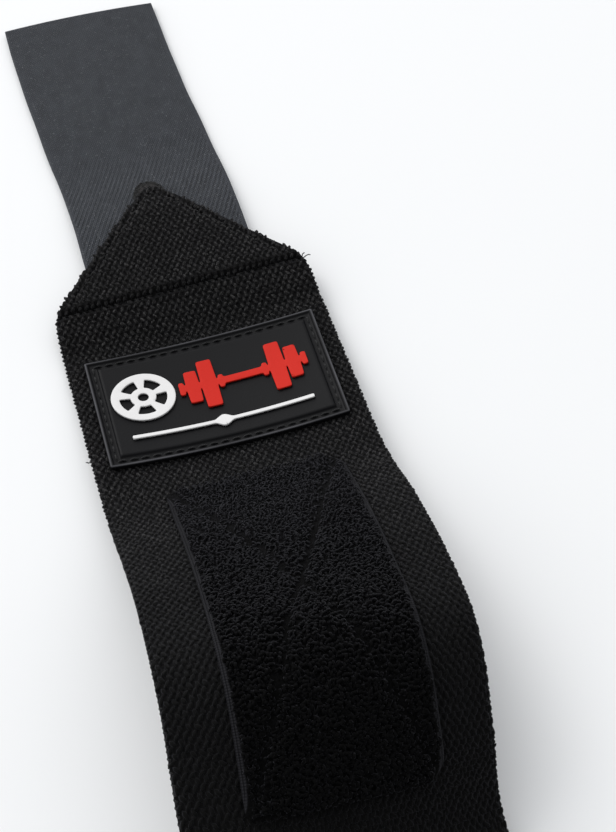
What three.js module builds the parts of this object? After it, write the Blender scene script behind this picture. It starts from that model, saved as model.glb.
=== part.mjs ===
// A wrist wrap lying open on a flat surface: a wide elastic band with a folded point, the narrower
// hook strap sewn under that point, a rubber label and a loop patch sewn on the band.
// Millimetres, +Z up. The strap points along +Y, the band's free end along -Y.

import * as THREE from 'three';
import { mergeVertices } from 'three/addons/utils/BufferGeometryUtils.js';

// Elastic band
const bandWidth = 75;
const bandLength = 334;
const bandWall = 2.4;
const bandRim = 2;
const pointLength = 38.6;
const pointWall = 4.4;
const tipRound = 2.2;
const tipHalfWidth = 1.5;
const shoulderRound = 3;
const seamPlace = 0.8;
const seamDepth = 1.3;
const seamWidth = 1.8;
const foldStitchInset = 4;
const foldStitchDepth = 0.5;
const foldStitchWidth = 1.4;
const stepDownLength = 12;
const hemLength = 13;
const hemWall = 4;

// Hook strap
const strapWidth = 49;
const strapLength = 126.4;
const strapPastSeam = 2.4;
const tapeWall = 1.2;
const tapeRim = 0.4;
const hookHeight = 0.8;
const hookSelvage = 3;

// Rubber label
const labelWidth = 65.5;
const labelLength = 40.8;
const labelFromSeam = 18.2;
const labelTurn = 0.9;
const labelCorner = 0.6;
const labelBase = 0.8;
const labelRimWidth = 0.9;
const labelRimHeight = 0.5;
const labelChannelWidth = 2.3;
const labelFieldHeight = 0.7;
const labelStep = 0.25;

// Raised motif on the label: a barbell, a weight plate and a rule with a diamond
const motifHeight = 0.6;
const barbellLength = 36;
const barbellAcross = 8.6;
const barbellUp = 3;
const plateRadius = 8.8;
const plateAcross = -19.4;
const plateUp = 3;
const plateSpokes = 5;
const ruleLength = 50;
const ruleUp = -11.6;

// Loop patch
const patchWidth = 47;
const patchLength = 110;
const patchFromSeam = 72.5;
const patchAcross = 0.9;
const patchTurn = 1.1;
const patchCornerLeft = 1.5;
const patchCornerRight = 7;
const patchTape = 0.8;
const patchRim = 0.6;
const patchSelvage = 1.8;
const pileHeight = 1.2;
const crossDentDepth = 0.9;
const crossDentWidth = 2.2;

// How it lies
const humpHeight = 38;
const strapRise = 2.8;
const clearance = 0.3;
const motifClearance = 0.2;

// Heights of the underside over the surface, as shares of the rise, and the heading in degrees
const strapFolds = [
  { at: 1, turn: -0.5, left: 0, middle: 0, right: 0 },
  { at: 0.71, turn: 2.2, left: 0, middle: 0, right: 0 },
  { at: 0.44, turn: 3.5, left: 0, middle: 0.05, right: 0 },
  { at: 0.22, turn: -0.5, left: 0.25, middle: 1, right: 0.5 },
];
const bandFolds = [
  { at: 0, turn: 0, left: 0.01, middle: 0.04, right: 0.07 },
  { at: 0.06, turn: 0, left: 0.03, middle: 0.01, right: 0.09 },
  { at: 0.15, turn: -0.75, left: 0.11, middle: 0.05, right: 0.15 },
  { at: 0.225, turn: 0.2, left: 0.21, middle: 0.19, right: 0.22 },
  { at: 0.3, turn: -0.2, left: 0.52, middle: 0.5, right: 0.5 },
  { at: 0.375, turn: -2, left: 0.82, middle: 0.76, right: 0.74 },
  { at: 0.45, turn: -3, left: 1, middle: 1, right: 0.86 },
  { at: 0.525, turn: -6.5, left: 0.82, middle: 0.77, right: 0.47 },
  { at: 0.6, turn: -1, left: 0.55, middle: 0.39, right: 0.09 },
  { at: 0.665, turn: 0, left: 0.29, middle: 0.1, right: 0 },
  { at: 0.735, turn: 0, left: 0, middle: 0, right: 0 },
  { at: 1, turn: 0, left: 0, middle: 0, right: 0 },
];

const fabricBlack = 0x0b0b0c;
const strapGrey = 0x2b2c2f;
const rubberBlack = 0x101011;
const motifWhite = 0xf2f0ee;
const motifRed = 0xd93a30;

// Smooth curve through a table: cubic pieces whose slope at a row is that of the parabola
// through the row and its two neighbours.
function throughRows(places, values) {
  const last = places.length - 1;
  const rise = (i) => (values[i + 1] - values[i]) / (places[i + 1] - places[i]);
  const slope = places.map((place, i) => {
    if (i === 0) return rise(0);
    if (i === last) return rise(last - 1);
    const before = place - places[i - 1];
    const after = places[i + 1] - place;
    return (after * rise(i - 1) + before * rise(i)) / (before + after);
  });
  return (place) => {
    let i = 0;
    while (i < last - 1 && place > places[i + 1]) i += 1;
    const span = places[i + 1] - places[i];
    const u = THREE.MathUtils.clamp((place - places[i]) / span, 0, 1);
    const start = (1 + 2 * u) * (1 - u) ** 2 * values[i] + u * (1 - u) ** 2 * span * slope[i];
    const end = u * u * (3 - 2 * u) * values[i + 1] + u * u * (u - 1) * span * slope[i + 1];
    return start + end;
  };
}

// The middle line of the wrap, run along from the strap's tip to the band's free end
const rows = [
  ...strapFolds.map((row) => ({ ...row, place: -row.at * strapLength, rise: strapRise })),
  ...bandFolds.map((row) => ({ ...row, place: row.at * bandLength, rise: humpHeight })),
];
const rowPlaces = rows.map((row) => row.place);
const column = (value) => throughRows(rowPlaces, rows.map(value));
const turnAt = column((row) => THREE.MathUtils.degToRad(row.turn));
const leftAt = column((row) => row.left * row.rise);
const middleAt = column((row) => row.middle * row.rise);
const rightAt = column((row) => row.right * row.rise);

const stepLength = 1;
const steepest = 0.98;
const firstPlace = -strapLength;
const stepCount = Math.ceil((bandLength - firstPlace) / stepLength);

function walkMiddleLine() {
  const sections = [];
  const position = new THREE.Vector3();
  for (let i = 0; i <= stepCount; i += 1) {
    const place = firstPlace + i * stepLength;
    const turn = turnAt(place);
    const climb = middleAt(place + stepLength / 2) - middleAt(place - stepLength / 2);
    const pitch = Math.asin(THREE.MathUtils.clamp(climb / stepLength, -steepest, steepest));
    const along = new THREE.Vector3(
      Math.cos(pitch) * Math.sin(turn),
      -Math.cos(pitch) * Math.cos(turn),
      Math.sin(pitch),
    );
    const tilt = Math.asin((rightAt(place) - leftAt(place)) / bandWidth);
    const level = new THREE.Vector3(Math.cos(turn), Math.sin(turn), 0);
    const upright = new THREE.Vector3().crossVectors(along, level);
    const across = level.clone().multiplyScalar(Math.cos(tilt)).addScaledVector(upright, Math.sin(tilt));
    const up = upright.multiplyScalar(Math.cos(tilt)).addScaledVector(level, -Math.sin(tilt));
    const sag = (leftAt(place) + rightAt(place)) / 2 - middleAt(place);
    sections.push({ position: position.clone().setZ(middleAt(place)), across, up, sag });
    position.addScaledVector(along, stepLength);
  }
  return sections;
}

const sections = walkMiddleLine();

// A point of the wrap: place along it from the seam, side across it, height over its underside.
// No underside dips below the surface that the wrap lies on.
function onWrap(place, side, height) {
  const step = (place - firstPlace) / stepLength;
  const i = THREE.MathUtils.clamp(Math.floor(step), 0, stepCount - 1);
  const u = step - i;
  const from = sections[i];
  const to = sections[i + 1];
  const position = from.position.clone().lerp(to.position, u);
  const across = from.across.clone().lerp(to.across, u);
  const up = from.up.clone().lerp(to.up, u);
  const sag = THREE.MathUtils.lerp(from.sag, to.sag, u);
  position.addScaledVector(across, side);
  position.addScaledVector(up, sag * (side / (bandWidth / 2)) ** 2);
  position.z = Math.max(position.z, 0);
  return position.addScaledVector(up, height);
}

// Even steps of about one gap from one place to another
function steps(from, to, gap) {
  const count = Math.max(1, Math.round((to - from) / gap));
  return Array.from({ length: count + 1 }, (_, i) => from + ((to - from) * i) / count);
}

// Places from end to end: close ones at the margins' distances from both ends, even ones between
function spread(from, to, margins, count) {
  const widest = margins[margins.length - 1];
  const fit = Math.min(1, (to - from) / (3 * widest));
  const near = margins.map((margin) => margin * fit);
  const inset = widest * fit;
  const inner = steps(from + inset, to - inset, (to - from - 2 * inset) / count);
  return [
    ...near.slice(0, -1).map((margin) => from + margin),
    ...inner,
    ...near.slice(0, -1).reverse().map((margin) => to - margin),
  ];
}

// A soft slab on the wrap, closed, with a rounded rim where its two faces share their vertices.
// halfWidth(place) is its outline; under and over give its faces as heights over the wrap's
// underside, from the place and the distance to the nearest edge. across(place) shifts its middle
// line, and it may be turned about its middle.
function slab({ places, halfWidth, margins, columns, under, over, rim, across = () => 0, turn = 0 }) {
  const last = places.length - 1;
  const centre = (places[0] + places[last]) / 2;
  const lean = THREE.MathUtils.degToRad(turn);
  const vertices = [];
  const add = (place, side, height) => {
    const turnedPlace = place + lean * side;
    const turnedSide = across(place) + side - lean * (place - centre);
    const point = onWrap(turnedPlace, turnedSide, height);
    vertices.push(point.x, point.y, point.z);
    return vertices.length / 3 - 1;
  };
  const lower = [];
  const upper = [];
  places.forEach((place, i) => {
    const half = halfWidth(place);
    const sides = spread(-half, half, margins, columns);
    lower.push([]);
    upper.push([]);
    sides.forEach((side, j) => {
      const fromEnd = Math.min(place - places[0], places[last] - place);
      const inside = Math.min(fromEnd, half - Math.abs(side));
      const low = under(place, inside, side);
      const high = over(place, inside, side);
      const fullness = Math.sqrt(1 - (1 - Math.min(Math.max(inside, 0) / rim, 1)) ** 2);
      const middle = (low + high) / 2;
      const halfWall = ((high - low) / 2) * fullness;
      const onRim = i === 0 || i === last || j === 0 || j === sides.length - 1;
      const below = add(place, side, onRim ? middle : middle - halfWall);
      lower[i].push(below);
      upper[i].push(onRim ? below : add(place, side, middle + halfWall));
    });
  });
  const triangles = [];
  for (let i = 0; i < last; i += 1) {
    for (let j = 0; j < lower[i].length - 1; j += 1) {
      triangles.push(upper[i][j], upper[i + 1][j], upper[i + 1][j + 1]);
      triangles.push(upper[i][j], upper[i + 1][j + 1], upper[i][j + 1]);
      triangles.push(lower[i][j], lower[i][j + 1], lower[i + 1][j + 1]);
      triangles.push(lower[i][j], lower[i + 1][j + 1], lower[i + 1][j]);
    }
  }
  const geometry = new THREE.BufferGeometry();
  geometry.setAttribute('position', new THREE.Float32BufferAttribute(vertices, 3));
  geometry.setIndex(triangles);
  geometry.computeVertexNormals();
  return geometry;
}

function piece(name, geometry, color, roughness) {
  const material = new THREE.MeshStandardMaterial({ color, roughness, metalness: 0 });
  const mesh = new THREE.Mesh(geometry, material);
  mesh.name = name;
  return mesh;
}

const { smoothstep } = THREE.MathUtils;
const dent = (distance, width) => Math.exp(-((distance / width) ** 2));
const roundedRectangle = (from, to, width, corner) => (place) => {
  const fromCorner = Math.max(0, corner - Math.min(place - from, to - place));
  return width / 2 - corner + Math.sqrt(Math.max(0, corner ** 2 - fromCorner ** 2));
};

// The strap lies lowest; the band's point lies on it and steps down to the surface past its end
const strapEnd = seamPlace + strapPastSeam;
const labelStart = seamPlace + labelFromSeam;
const labelEnd = labelStart + labelLength;
const patchStart = seamPlace + patchFromSeam;
const patchEnd = patchStart + patchLength;
const strapTop = hookHeight + tapeWall;
const stepDownStart = strapEnd + clearance;
const bandUnder = (place) => {
  const stepDown = smoothstep(place, stepDownStart, stepDownStart + stepDownLength);
  return (strapTop + clearance) * (1 - stepDown);
};

function elasticBand() {
  const pointSlope = bandWidth / 2 / (pointLength + tipRound);
  const halfWidth = (place) => {
    const fromApex = place + pointLength + tipRound;
    const slant = Math.hypot(tipHalfWidth, pointSlope * Math.sqrt(fromApex ** 2 - tipRound ** 2));
    const excess = slant - bandWidth / 2;
    return (slant + bandWidth / 2 - Math.hypot(excess, shoulderRound)) / 2;
  };
  const rimInsets = [0, 0.2, 0.65, 1.3].map((share) => share * bandRim);
  const pointGap = 4;
  const labelGap = 6;
  const humpGap = 5;
  const tailGap = 14;
  const humpEnd = bandFolds[bandFolds.length - 2].at * bandLength;
  const seamNear = 2 * seamWidth;
  const hemStart = bandLength - hemLength;
  const places = [
    ...rimInsets.map((inset) => inset - pointLength),
    ...steps(2 * bandRim - pointLength, seamPlace - seamNear, pointGap),
    ...steps(seamPlace - seamNear / 2, seamPlace + seamNear, seamWidth),
    ...steps(stepDownStart + pointGap, labelEnd, labelGap),
    ...steps(labelEnd, humpEnd, humpGap).slice(1),
    ...steps(humpEnd, hemStart - bandRim, tailGap).slice(1),
    hemStart,
    ...rimInsets.reverse().map((inset) => bandLength - inset),
  ];
  const wall = (place) => {
    const folded = 1 - smoothstep(place, seamPlace - seamWidth, seamPlace + seamNear);
    const hemmed = smoothstep(place, hemStart - bandRim, hemStart);
    return bandWall + (pointWall - bandWall) * folded + (hemWall - bandWall) * hemmed;
  };
  const over = (place, inside) => {
    const seam = seamDepth * dent(place - seamPlace, seamWidth);
    const onPoint = 1 - smoothstep(place, seamPlace - seamNear, seamPlace);
    const stitched = foldStitchDepth * onPoint * dent(inside - foldStitchInset, foldStitchWidth);
    return bandUnder(place) + wall(place) - seam - stitched;
  };
  return slab({
    places,
    halfWidth,
    margins: [0, 0.15 * bandRim, 0.55 * bandRim, 1.1 * bandRim, foldStitchInset, 1.5 * foldStitchInset],
    columns: 7,
    under: bandUnder,
    over,
    rim: bandRim,
  });
}

function hookStrap() {
  const hookStep = hookHeight * 0.75;
  return slab({
    places: spread(-strapLength, strapEnd, [0, tapeRim / 4, tapeRim, hookSelvage], 16),
    halfWidth: () => strapWidth / 2,
    margins: [0, tapeRim / 4, tapeRim, hookSelvage, hookSelvage + hookStep],
    columns: 4,
    under: (place, inside, side) => {
      const fromSelvage = strapWidth / 2 - Math.abs(side) - hookSelvage;
      return hookHeight * (1 - smoothstep(fromSelvage, 0, hookStep));
    },
    over: () => strapTop,
    rim: tapeRim,
  });
}

const labelUnder = bandWall + clearance;
const labelTop = labelUnder + labelBase + labelFieldHeight;

function labelPlate() {
  const channelEnd = labelRimWidth + labelChannelWidth;
  const margins = [
    0, labelStep / 4, labelStep, labelRimWidth, labelRimWidth + labelStep, channelEnd, channelEnd + labelStep,
  ];
  return slab({
    places: spread(labelStart, labelEnd, margins, 5),
    halfWidth: roundedRectangle(labelStart, labelEnd, labelWidth, labelCorner),
    margins,
    columns: 8,
    turn: labelTurn,
    under: () => labelUnder,
    over: (place, inside) => {
      const rim = labelRimHeight * (1 - smoothstep(inside, labelRimWidth, labelRimWidth + labelStep));
      const field = labelFieldHeight * smoothstep(inside, channelEnd, channelEnd + labelStep);
      return labelUnder + labelBase + rim + field;
    },
    rim: labelStep,
  });
}

// A flat shape stood on the label's field and bent with it
function raised(shape) {
  const flat = new THREE.ExtrudeGeometry(shape, { depth: motifHeight, bevelEnabled: false, curveSegments: 8 });
  flat.deleteAttribute('normal');
  flat.deleteAttribute('uv');
  const geometry = mergeVertices(flat, 1e-3);
  const position = geometry.getAttribute('position');
  const middle = (labelStart + labelEnd) / 2;
  const lean = THREE.MathUtils.degToRad(labelTurn);
  for (let i = 0; i < position.count; i += 1) {
    const side = position.getX(i);
    const up = position.getY(i);
    const height = labelTop + motifClearance + position.getZ(i);
    const point = onWrap(middle - up + lean * side, side + lean * up, height);
    position.setXYZ(i, point.x, point.y, point.z);
  }
  geometry.computeVertexNormals();
  return geometry;
}

// A shape that is symmetrical about its own length, from its half heights along that length
function barShape(length, centre, profile) {
  const top = profile.map(({ at, half }) => new THREE.Vector2((at * length) / 2, half));
  const bottom = [...top].reverse().map((point) => new THREE.Vector2(point.x, -point.y));
  return new THREE.Shape([...top, ...bottom].reverse().map((point) => point.add(centre)));
}

function mirrored(profile) {
  return [...profile.map(({ at, half }) => ({ at: -at, half })), ...[...profile].reverse()];
}

function barbell() {
  const bar = 1.2;
  const smallPlate = 5.8;
  const bigPlate = 8.6;
  const collar = 2.3;
  const profile = mirrored([
    { at: 1, half: collar },
    { at: 0.92, half: collar },
    { at: 0.91, half: bar },
    { at: 0.89, half: bar },
    { at: 0.88, half: smallPlate },
    { at: 0.69, half: smallPlate },
    { at: 0.68, half: bar },
    { at: 0.66, half: bar },
    { at: 0.65, half: bigPlate },
    { at: 0.42, half: bigPlate },
    { at: 0.41, half: bar },
    { at: 0.39, half: bar },
    { at: 0.38, half: collar },
    { at: 0.31, half: collar },
    { at: 0.3, half: bar },
    { at: 0.1, half: bar },
  ]);
  return barShape(barbellLength, new THREE.Vector2(barbellAcross, barbellUp), profile);
}

function weightPlate() {
  const shape = new THREE.Shape().absarc(plateAcross, plateUp, plateRadius, 0, 2 * Math.PI, false);
  const windowOuter = 0.74 * plateRadius;
  const windowInner = 0.4 * plateRadius;
  const sector = (2 * Math.PI) / plateSpokes;
  const spoke = 0.18 * sector;
  for (let i = 0; i < plateSpokes; i += 1) {
    const from = Math.PI / 2 + i * sector + spoke;
    const to = from + sector - 2 * spoke;
    const opening = new THREE.Path();
    opening.absarc(plateAcross, plateUp, windowOuter, from, to, false);
    opening.absarc(plateAcross, plateUp, windowInner, to, from, true);
    opening.closePath();
    shape.holes.push(opening);
  }
  const bore = new THREE.Path().absarc(plateAcross, plateUp, 0.17 * plateRadius, 0, 2 * Math.PI, true);
  shape.holes.push(bore);
  return shape;
}

function rule() {
  const thin = 0.6;
  const profile = mirrored([
    { at: 1, half: thin },
    { at: 0.8, half: thin },
    { at: 0.6, half: thin },
    { at: 0.4, half: thin },
    { at: 0.24, half: thin },
    { at: 0.1, half: thin },
    { at: 0.02, half: 2 },
  ]);
  return barShape(ruleLength, new THREE.Vector2(0, ruleUp), profile);
}

function loopPatch() {
  const middle = (patchStart + patchEnd) / 2;
  const under = bandWall + clearance;
  const pileStart = patchSelvage - patchRim;
  const pileEnd = patchSelvage + patchRim;
  const margins = [0, patchRim / 4, patchRim, pileStart, pileEnd];
  const crossHalfLength = patchLength / 2 - patchSelvage;
  const crossHalfWidth = patchWidth / 2 - patchSelvage;
  const diagonal = Math.hypot(crossHalfLength, crossHalfWidth);
  const left = roundedRectangle(patchStart, patchEnd, patchWidth, patchCornerLeft);
  const right = roundedRectangle(patchStart, patchEnd, patchWidth, patchCornerRight);
  return slab({
    places: spread(patchStart, patchEnd, margins, 25),
    halfWidth: (place) => (left(place) + right(place)) / 2,
    margins,
    columns: 10,
    across: (place) => patchAcross + (right(place) - left(place)) / 2,
    turn: patchTurn,
    under: () => under,
    over: (place, inside, side) => {
      const u = (place - middle) * crossHalfWidth;
      const v = side * crossHalfLength;
      const fromCross = Math.min(Math.abs(u - v), Math.abs(u + v)) / diagonal;
      const pile = pileHeight - crossDentDepth * dent(fromCross, crossDentWidth);
      return under + patchTape + pile * smoothstep(inside, pileStart, pileEnd);
    },
    rim: patchRim,
  });
}

const wrap = new THREE.Group();
wrap.add(piece('elastic_band', elasticBand(), fabricBlack, 0.95));
wrap.add(piece('hook_strap', hookStrap(), strapGrey, 0.6));
wrap.add(piece('label_plate', labelPlate(), rubberBlack, 0.45));
wrap.add(piece('motif_barbell', raised(barbell()), motifRed, 0.45));
wrap.add(piece('motif_weight_plate', raised(weightPlate()), motifWhite, 0.45));
wrap.add(piece('motif_rule', raised(rule()), motifWhite, 0.45));
wrap.add(piece('loop_patch', loopPatch(), fabricBlack, 1));

// The origin is the middle of the bottom of the whole wrap
const bounds = new THREE.Box3().setFromObject(wrap);
wrap.position.set(
  -(bounds.min.x + bounds.max.x) / 2,
  -(bounds.min.y + bounds.max.y) / 2,
  -bounds.min.z,
);

export default wrap;
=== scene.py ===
import bpy
import numpy as np
from mathutils import Matrix, Vector
from mathutils.geometry import delaunay_2d_cdt


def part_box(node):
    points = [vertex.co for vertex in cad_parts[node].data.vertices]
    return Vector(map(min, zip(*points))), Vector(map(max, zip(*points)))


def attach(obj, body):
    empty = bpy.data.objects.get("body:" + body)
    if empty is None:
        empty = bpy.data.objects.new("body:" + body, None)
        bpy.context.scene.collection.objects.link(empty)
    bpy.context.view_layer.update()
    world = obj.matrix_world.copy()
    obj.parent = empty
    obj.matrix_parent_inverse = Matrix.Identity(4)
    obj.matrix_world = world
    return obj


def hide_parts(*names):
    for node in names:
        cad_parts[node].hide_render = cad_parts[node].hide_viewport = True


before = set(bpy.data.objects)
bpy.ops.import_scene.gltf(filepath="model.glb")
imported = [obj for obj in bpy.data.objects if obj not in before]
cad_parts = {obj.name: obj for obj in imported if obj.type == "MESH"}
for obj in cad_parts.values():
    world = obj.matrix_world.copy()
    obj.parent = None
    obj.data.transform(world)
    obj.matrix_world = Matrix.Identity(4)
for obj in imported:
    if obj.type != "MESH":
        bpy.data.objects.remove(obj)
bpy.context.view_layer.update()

# Elastic band: the wrap's body, a knitted elastic 75 mm wide whose end is folded to a point and sewn
# down across. It lies on the floor at the strap, rises over a loose hump and comes down to a hemmed
# end. Everything on it is placed by how far along, across and above it lies, in millimetres.
band_width = 75
band_length = 334
band_wall = 2.4
band_rim = 2
point_length = 38.6
point_wall = 4.4
tip_round = 2.2
tip_half_width = 1.5
shoulder_round = 3
seam_place = 0.8
seam_depth = 1.3
seam_width = 1.8
crease_width = 0.8
fold_stitch_inset = 4
fold_stitch_depth = 0.5
fold_stitch_width = 1.4
step_down_length = 12
hem_length = 13
hem_wall = 4
hem_stitch_inset = 1.5
hem_stitch_depth = 0.5
hem_stitch_width = 1.2
float_sink = 0.3
strap_length = 126.4
strap_past_seam = 2.4
strap_top = 2
clearance = 0.3
hump_height = 38
strap_rise = 2.8

# Share of the length, heading in degrees, then left, middle and right as shares of the rise
strap_folds = [
    (1, -0.5, 0, 0, 0),
    (0.71, 2.2, 0, 0, 0),
    (0.44, 3.5, 0, 0.05, 0),
    (0.22, -0.5, 0.25, 1, 0.5),
]
band_folds = [
    (0, 0, 0.01, 0.04, 0.07),
    (0.06, 0, 0.03, 0.01, 0.09),
    (0.15, -0.75, 0.11, 0.05, 0.15),
    (0.225, 0.2, 0.21, 0.19, 0.22),
    (0.3, -0.2, 0.52, 0.5, 0.5),
    (0.375, -2, 0.82, 0.76, 0.74),
    (0.45, -3, 1, 1, 0.86),
    (0.525, -6.5, 0.82, 0.77, 0.47),
    (0.6, -1, 0.55, 0.39, 0.09),
    (0.665, 0, 0.29, 0.1, 0),
    (0.735, 0, 0, 0, 0),
    (1, 0, 0, 0, 0),
]


def through_rows(places, values):
    """Smooth curve through a table: cubic pieces whose slope at a row is that of the parabola
    through the row and its two neighbours."""
    gap = np.diff(places)
    rise = np.diff(values) / gap
    inner = (gap[1:] * rise[:-1] + gap[:-1] * rise[1:]) / (gap[:-1] + gap[1:])
    slope = np.concatenate([rise[:1], inner, rise[-1:]])

    def at(place):
        i = np.clip(np.searchsorted(places, place) - 1, 0, len(places) - 2)
        u = np.clip((place - places[i]) / gap[i], 0, 1)
        start = (1 + 2 * u) * (1 - u) ** 2 * values[i] + u * (1 - u) ** 2 * gap[i] * slope[i]
        end = u * u * (3 - 2 * u) * values[i + 1] + u * u * (u - 1) * gap[i] * slope[i + 1]
        return start + end

    return at


strap_rows = np.array(strap_folds) * [-strap_length, np.pi / 180, strap_rise, strap_rise, strap_rise]
band_rows = np.array(band_folds) * [band_length, np.pi / 180, hump_height, hump_height, hump_height]
rows = np.concatenate([strap_rows, band_rows])
turn_at, left_at, middle_at, right_at = (through_rows(rows[:, 0], rows[:, k]) for k in (1, 2, 3, 4))


def walked_sections():
    """The middle line in 1 mm steps from the strap's tip: each step goes by the heading and the climb
    there, and each section keeps its across and up directions and the sag of its middle."""
    place = np.arange(-strap_length, band_length + 1)
    turn = turn_at(place)
    pitch = np.arcsin(middle_at(place + 0.5) - middle_at(place - 0.5))
    along = np.stack([np.cos(pitch) * np.sin(turn), -np.cos(pitch) * np.cos(turn), np.sin(pitch)], 1)
    tilt = np.arcsin((right_at(place) - left_at(place)) / band_width)[:, None]
    level = np.stack([np.cos(turn), np.sin(turn), 0 * turn], 1)
    upright = np.cross(along, level)
    across = level * np.cos(tilt) + upright * np.sin(tilt)
    up = upright * np.cos(tilt) - level * np.sin(tilt)
    middle = np.concatenate([np.zeros((1, 3)), np.cumsum(along, 0)[:-1]])
    middle[:, 2] = middle_at(place)
    sag = (left_at(place) + right_at(place)) / 2 - middle_at(place)
    return np.concatenate([middle, across, up, sag[:, None]], 1)


sections = walked_sections()


def on_wrap(place, side, height):
    """A point of the wrap: the middle line's point, plus side times across, plus the sag times the
    square of the side's share of the half width, no lower than the floor, plus height times up.
    Past either end the wrap goes on straight."""
    place, side, height = np.broadcast_arrays(place, side, height)
    step = place + strap_length
    i = np.clip(step.astype(int), 0, len(sections) - 2)
    u = (step - i)[..., None]
    section = sections[i] * (1 - u) + sections[i + 1] * u
    lift = section[..., 9] * (side / (band_width / 2)) ** 2
    point = section[..., 0:3] + section[..., 3:6] * side[..., None] + section[..., 6:9] * lift[..., None]
    point[..., 2] = np.maximum(point[..., 2], 0)
    return point + section[..., 6:9] * height[..., None]


def smooth_step(value, start, end):
    """0 before start, 1 after end, and 3 t squared less 2 t cubed between."""
    t = np.clip((value - start) / (end - start), 0, 1)
    return t * t * (3 - 2 * t)


def dent(distance, width):
    """A bell: e to the minus square of distance over width."""
    return np.exp(-((distance / width) ** 2))


def steps(start, end, gap):
    """Even steps of about one gap, without the last."""
    return np.linspace(start, end, max(1, round((end - start) / gap)), endpoint=False)


def end_to_end(start, end, near, first, last, gap):
    """Places along a piece: the near distances from both its ends, and even steps from first past
    its start to last short of its end."""
    near = np.array(near)
    return np.concatenate([start + near, steps(start + first, end - last, gap), end - near[::-1]])


def slab(places, half_width, margins, columns, under, over, rim, across=0.0, lean=0.0, bow=0.0):
    """A closed soft slab on the wrap. Its columns keep the margins' distances from both sides with
    even ones between; its faces are the levels under and over, drawn together to one edge by the
    round of the rim; lean turns it about its middle, and bow pushes the middle of its first end out
    by a parabola that fades within 15 mm. Returns points, faces and (side, place, depth inside)."""
    place = places[:, None]
    half = np.maximum(half_width(place), 1e-3)
    widest = margins[-1]
    fit = np.minimum(1, 2 * half / (3 * widest))
    near = np.array(margins)[None, :] * fit
    inner = np.linspace(0, 1, columns + 1)[None, 1:-1]
    between = (-half + near[:, -1:]) * (1 - inner) + (half - near[:, -1:]) * inner
    side = np.concatenate([-half + near, between, (half - near)[:, ::-1]], 1)
    place = np.broadcast_to(place, side.shape)
    from_end = np.minimum(place - places[0], places[-1] - place)
    inside = np.minimum(from_end, half - abs(side))
    low, high = under(place) if callable(under) else under, over(place, inside, side)
    full = np.sqrt(1 - (1 - np.clip(inside / rim, 0, 1)) ** 2)
    middle, wall = (low + high) / 2, (high - low) / 2 * full
    edge = np.ones(side.shape, bool)
    edge[1:-1, 1:-1] = False
    wall = np.where(edge, 0, wall)
    centre = (places[0] + places[-1]) / 2
    pushed = bow * (1 - (side / half) ** 2) * np.exp(-(place - places[0]) / 15)
    turned = place + lean * side - pushed, across + side - lean * (place - centre)
    upper = on_wrap(*turned, middle + wall)
    lower = on_wrap(*turned, middle - wall)[~edge]
    index = np.arange(side.size).reshape(side.shape)
    below = index.copy()
    below[~edge] = side.size + np.arange((~edge).sum())
    top = np.stack([index[:-1, :-1], index[1:, :-1], index[1:, 1:], index[:-1, 1:]], -1).reshape(-1, 4)
    bottom = np.stack([below[:-1, :-1], below[:-1, 1:], below[1:, 1:], below[1:, :-1]], -1).reshape(-1, 4)
    local = np.stack([side, place, inside], -1)
    underside = local[~edge] * [1, 1, -1]
    points = np.concatenate([upper.reshape(-1, 3), lower])
    return points, [top, bottom], np.concatenate([local.reshape(-1, 3), underside])


def band_half_width(place):
    """The band's half width: a slant from the rounded tip, run into the full half width by the
    smaller of the two, with a rounded shoulder."""
    from_apex = place + point_length + tip_round
    slope = band_width / 2 / (point_length + tip_round)
    slant = np.hypot(tip_half_width, slope * np.sqrt(np.maximum(from_apex**2 - tip_round**2, 0)))
    return (slant + band_width / 2 - np.hypot(slant - band_width / 2, shoulder_round)) / 2


def band_under(place):
    """Underside of the band: on the strap, then down to the wrap's own underside past its end."""
    start = seam_place + strap_past_seam + clearance
    return (strap_top + clearance) * (1 - smooth_step(place, start, start + step_down_length))


hem_start = band_length - hem_length


def band_over(place, inside):
    """Top of the band: its wall, thicker where it is folded and hemmed, less the seam's groove, the
    channels of the stitches and what the yarn floats on it take up."""
    folded = 1 - smooth_step(place, seam_place - seam_width, seam_place + 2 * seam_width)
    hemmed = smooth_step(place, hem_start - band_rim, hem_start)
    wall = band_wall + (point_wall - band_wall) * folded + (hem_wall - band_wall) * hemmed
    on_point = 1 - smooth_step(place, seam_place - 2 * seam_width, seam_place)
    stitched = fold_stitch_depth * on_point * dent(inside - fold_stitch_inset, fold_stitch_width)
    hem_line = hem_stitch_depth * dent(place - hem_start - hem_stitch_inset, hem_stitch_width)
    seam = seam_depth * dent(place - seam_place, crease_width)
    return band_under(place) + wall - seam - stitched - hem_line - float_sink


rim_insets = band_rim * np.array([0, 0.08, 0.2, 0.4, 0.65, 1, 1.3])
band_places = np.concatenate([
    rim_insets - point_length,
    steps(2 * band_rim - point_length, seam_place - 4, 1),
    steps(seam_place - 4, seam_place + 4, 0.4),
    steps(seam_place + 4, hem_start - 3, 1.5),
    steps(hem_start - 3, band_length - 2 * band_rim, 0.6),
    band_length - rim_insets[::-1],
])
band_margins = band_rim * np.array([0, 0.08, 0.2, 0.4, 0.7, 1.05, 1.5, 2, 2.5])
band_points, band_faces, band_local = slab(
    band_places, band_half_width, band_margins, 36, band_under,
    lambda place, inside, side: band_over(place, inside), band_rim,
)

# The frame's origin is the middle of the wrap's footprint; the wrap's own is on the seam
to_frame = np.array(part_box("elastic_band")[0]) * 1000 - band_points.min(0)
to_frame[2] = 0


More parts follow.
